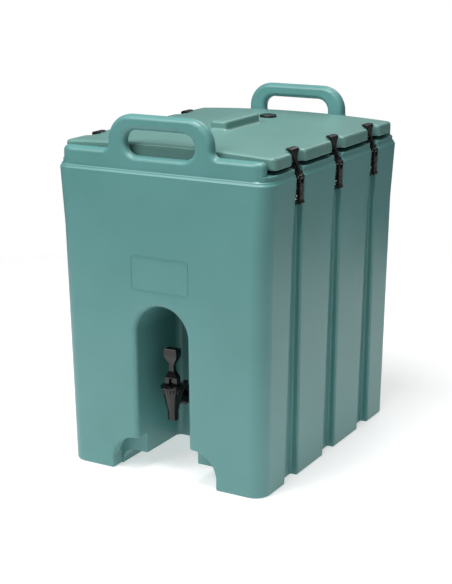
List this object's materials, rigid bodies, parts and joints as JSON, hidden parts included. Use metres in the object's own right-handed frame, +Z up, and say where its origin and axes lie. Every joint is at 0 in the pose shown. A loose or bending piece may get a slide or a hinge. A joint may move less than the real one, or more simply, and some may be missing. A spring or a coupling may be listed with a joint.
{
  "type": "insulated beverage carrier",
  "caption": "Tall double-wall insulated drink carrier with a flat lift-off lid, side draw latches, moulded end handles, stacking feet and a lever tap in an arched front recess.",
  "frame": {"origin": "middle of the footprint, on the floor under the foot rails", "axes": "+Z up; the tap side faces -Y; +X is to the right when looking at the tap side from the front"},
  "size_m": [0.4188, 0.5206, 0.628],
  "materials": {
    "polyethylene": "rotomoulded polyethylene, satin, faint pebble",
    "polyethylene_lid": "rotomoulded polyethylene, satin, faint pebble",
    "polyethylene_plug": "moulded polyethylene, satin",
    "insulation_foam": "rigid polyurethane foam",
    "gasket_rubber": "moulded rubber",
    "black_nylon": "moulded nylon, semi-gloss",
    "rivet_steel": "nickel plated steel",
    "pin_steel": "drawn stainless steel",
    "tap_plastic": "moulded polypropylene, glossy",
    "seat_silicone": "moulded silicone"
  },
  "bodies": {
    "carrier_body": {"body_shell": "polyethylene", "base_pan": "polyethylene", "tap_recess": "polyethylene", "end_wall_front": "polyethylene", "end_wall_rear": "polyethylene", "tank_liner": "polyethylene", "tank_sump": "polyethylene", "body_foam": "insulation_foam", "body_foam_plug": "polyethylene_plug", "latch_base_1": "black_nylon", "latch_base_2": "black_nylon", "latch_base_3": "black_nylon", "latch_base_4": "black_nylon", "latch_base_5": "black_nylon", "latch_base_6": "black_nylon", "latch_lever_pins": "pin_steel", "latch_rivets": "rivet_steel", "tap_body": "tap_plastic", "tap_union_nut": "tap_plastic", "tap_shank": "tap_plastic", "tap_outer_washer": "gasket_rubber", "tap_inner_washer": "gasket_rubber", "tap_inner_nut": "tap_plastic", "tap_bonnet": "tap_plastic"},
    "lid": {"lid_shell": "polyethylene_lid", "lid_foam": "insulation_foam", "lid_gasket": "gasket_rubber", "lid_foam_plug": "polyethylene_plug"},
    "vent": {"vent_cap": "black_nylon", "vent_seal": "gasket_rubber"},
    "tap_valve": {"tap_stem": "tap_plastic", "tap_seat_cup": "seat_silicone", "tap_pin": "pin_steel"},
    "tap_handle": {"tap_lever": "tap_plastic"},
    "latch_lever_body_1": {"latch_lever_1": "black_nylon", "latch_hook_pin_1": "pin_steel"},
    "latch_hook_body_1": {"latch_hook_1": "black_nylon"},
    "latch_lever_body_2": {"latch_lever_2": "black_nylon", "latch_hook_pin_2": "pin_steel"},
    "latch_hook_body_2": {"latch_hook_2": "black_nylon"},
    "latch_lever_body_3": {"latch_lever_3": "black_nylon", "latch_hook_pin_3": "pin_steel"},
    "latch_hook_body_3": {"latch_hook_3": "black_nylon"},
    "latch_lever_body_4": {"latch_lever_4": "black_nylon", "latch_hook_pin_4": "pin_steel"},
    "latch_hook_body_4": {"latch_hook_4": "black_nylon"},
    "latch_lever_body_5": {"latch_lever_5": "black_nylon", "latch_hook_pin_5": "pin_steel"},
    "latch_hook_body_5": {"latch_hook_5": "black_nylon"},
    "latch_lever_body_6": {"latch_lever_6": "black_nylon", "latch_hook_pin_6": "pin_steel"},
    "latch_hook_body_6": {"latch_hook_6": "black_nylon"}
  },
  "joints": [
    {"name": "lid_lift", "type": "slide", "parent": "carrier_body", "child": "lid", "axis": [0, 0, 1], "range_m": [0, 0.05]},
    {"name": "vent_cap_pull", "type": "slide", "parent": "lid", "child": "vent", "axis": [0, 0, 1], "range_m": [0, 0.008]},
    {"name": "latch_lever_1_turn", "type": "hinge", "parent": "carrier_body", "child": "latch_lever_body_1", "pos_m": [0.1996, -0.1487, 0.534], "axis": [0, -1, 0], "range_deg": [0, 60.5]},
    {"name": "latch_hook_1_turn", "type": "hinge", "parent": "latch_lever_body_1", "child": "latch_hook_body_1", "pos_m": [0.2042, -0.1487, 0.531], "axis": [0, 1, 0], "range_deg": [0, 140.5]},
    {"name": "latch_lever_2_turn", "type": "hinge", "parent": "carrier_body", "child": "latch_lever_body_2", "pos_m": [0.1996, 0, 0.534], "axis": [0, -1, 0], "range_deg": [0, 60.5]},
    {"name": "latch_hook_2_turn", "type": "hinge", "parent": "latch_lever_body_2", "child": "latch_hook_body_2", "pos_m": [0.2042, 0, 0.531], "axis": [0, 1, 0], "range_deg": [0, 140.5]},
    {"name": "latch_lever_3_turn", "type": "hinge", "parent": "carrier_body", "child": "latch_lever_body_3", "pos_m": [0.1996, 0.1487, 0.534], "axis": [0, -1, 0], "range_deg": [0, 60.5]},
    {"name": "latch_hook_3_turn", "type": "hinge", "parent": "latch_lever_body_3", "child": "latch_hook_body_3", "pos_m": [0.2042, 0.1487, 0.531], "axis": [0, 1, 0], "range_deg": [0, 140.5]},
    {"name": "latch_lever_4_turn", "type": "hinge", "parent": "carrier_body", "child": "latch_lever_body_4", "pos_m": [-0.1996, -0.1487, 0.534], "axis": [0, 1, 0], "range_deg": [0, 60.5]},
    {"name": "latch_hook_4_turn", "type": "hinge", "parent": "latch_lever_body_4", "child": "latch_hook_body_4", "pos_m": [-0.2042, -0.1487, 0.531], "axis": [0, -1, 0], "range_deg": [0, 140.5]},
    {"name": "latch_lever_5_turn", "type": "hinge", "parent": "carrier_body", "child": "latch_lever_body_5", "pos_m": [-0.1996, 0, 0.534], "axis": [0, 1, 0], "range_deg": [0, 60.5]},
    {"name": "latch_hook_5_turn", "type": "hinge", "parent": "latch_lever_body_5", "child": "latch_hook_body_5", "pos_m": [-0.2042, 0, 0.531], "axis": [0, -1, 0], "range_deg": [0, 140.5]},
    {"name": "latch_lever_6_turn", "type": "hinge", "parent": "carrier_body", "child": "latch_lever_body_6", "pos_m": [-0.1996, 0.1487, 0.534], "axis": [0, 1, 0], "range_deg": [0, 60.5]},
    {"name": "latch_hook_6_turn", "type": "hinge", "parent": "latch_lever_body_6", "child": "latch_hook_body_6", "pos_m": [-0.2042, 0.1487, 0.531], "axis": [0, -1, 0], "range_deg": [0, 140.5]},
    {"name": "tap_valve_lift", "type": "slide", "parent": "carrier_body", "child": "tap_valve", "axis": [0, 0, 1], "range_m": [0, 0.005], "stiffness_N_per_m": 600},
    {"name": "tap_lever_tilt", "type": "hinge", "parent": "tap_valve", "child": "tap_handle", "pos_m": [0, -0.22, 0.1693], "axis": [1, 0, 0], "range_deg": [0, 45.5]}
  ],
  "couplings": [
    {"joint": "latch_lever_1_turn", "follows": "lid_lift", "rad_per_m": 20.944},
    {"joint": "latch_hook_1_turn", "follows": "lid_lift", "rad_per_m": 48.869},
    {"joint": "latch_lever_2_turn", "follows": "lid_lift", "rad_per_m": 20.944},
    {"joint": "latch_hook_2_turn", "follows": "lid_lift", "rad_per_m": 48.869},
    {"joint": "latch_lever_3_turn", "follows": "lid_lift", "rad_per_m": 20.944},
    {"joint": "latch_hook_3_turn", "follows": "lid_lift", "rad_per_m": 48.869},
    {"joint": "latch_lever_4_turn", "follows": "lid_lift", "rad_per_m": 20.944},
    {"joint": "latch_hook_4_turn", "follows": "lid_lift", "rad_per_m": 48.869},
    {"joint": "latch_lever_5_turn", "follows": "lid_lift", "rad_per_m": 20.944},
    {"joint": "latch_hook_5_turn", "follows": "lid_lift", "rad_per_m": 48.869},
    {"joint": "latch_lever_6_turn", "follows": "lid_lift", "rad_per_m": 20.944},
    {"joint": "latch_hook_6_turn", "follows": "lid_lift", "rad_per_m": 48.869},
    {"joint": "tap_lever_tilt", "follows": "tap_valve_lift", "rad_per_m": 157.08}
  ]
}
